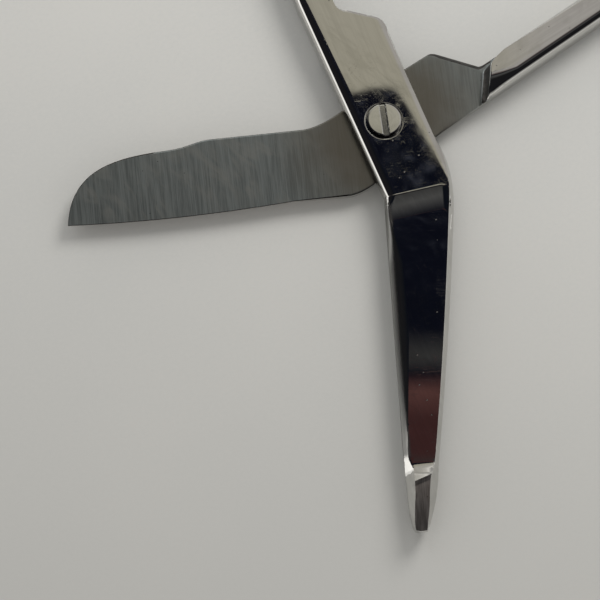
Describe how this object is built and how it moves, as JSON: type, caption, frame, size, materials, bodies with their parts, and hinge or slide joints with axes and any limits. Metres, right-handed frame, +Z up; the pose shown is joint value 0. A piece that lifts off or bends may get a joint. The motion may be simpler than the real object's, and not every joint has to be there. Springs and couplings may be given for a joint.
{
  "type": "bandage scissors",
  "caption": "Angled stainless scissors for cutting dressings: a blunt probe tip on the lower jaw, a broad rounded blade, finger rings and a slotted pivot screw.",
  "frame": {"origin": "on the pivot screw's axis, in the plane that the scissors lie on", "axes": "+Z up along the screw, from its flush end to its slotted head; open as stored, the broad blade points to -X, the probe blade to -Y, its ring lies to +Y and the other ring to +X"},
  "size_m": [0.1309, 0.1293, 0.0051],
  "materials": {
    "probe_half_steel": "mirror-polished stainless steel outside, ground inside",
    "blade_half_steel": "stainless steel, ground across the blade inside, mirror-polished outside",
    "screw_steel": "turned stainless steel, satin"
  },
  "bodies": {
    "lower_half": {"blade_half": "blade_half_steel", "pivot_screw": "screw_steel"},
    "upper_half": {"probe_half": "probe_half_steel"}
  },
  "joints": [
    {"name": "pivot", "type": "hinge", "parent": "lower_half", "child": "upper_half", "pos_m": [0, 0, 0], "axis": [0, 0, 1], "range_deg": [-76, 49]}
  ]
}
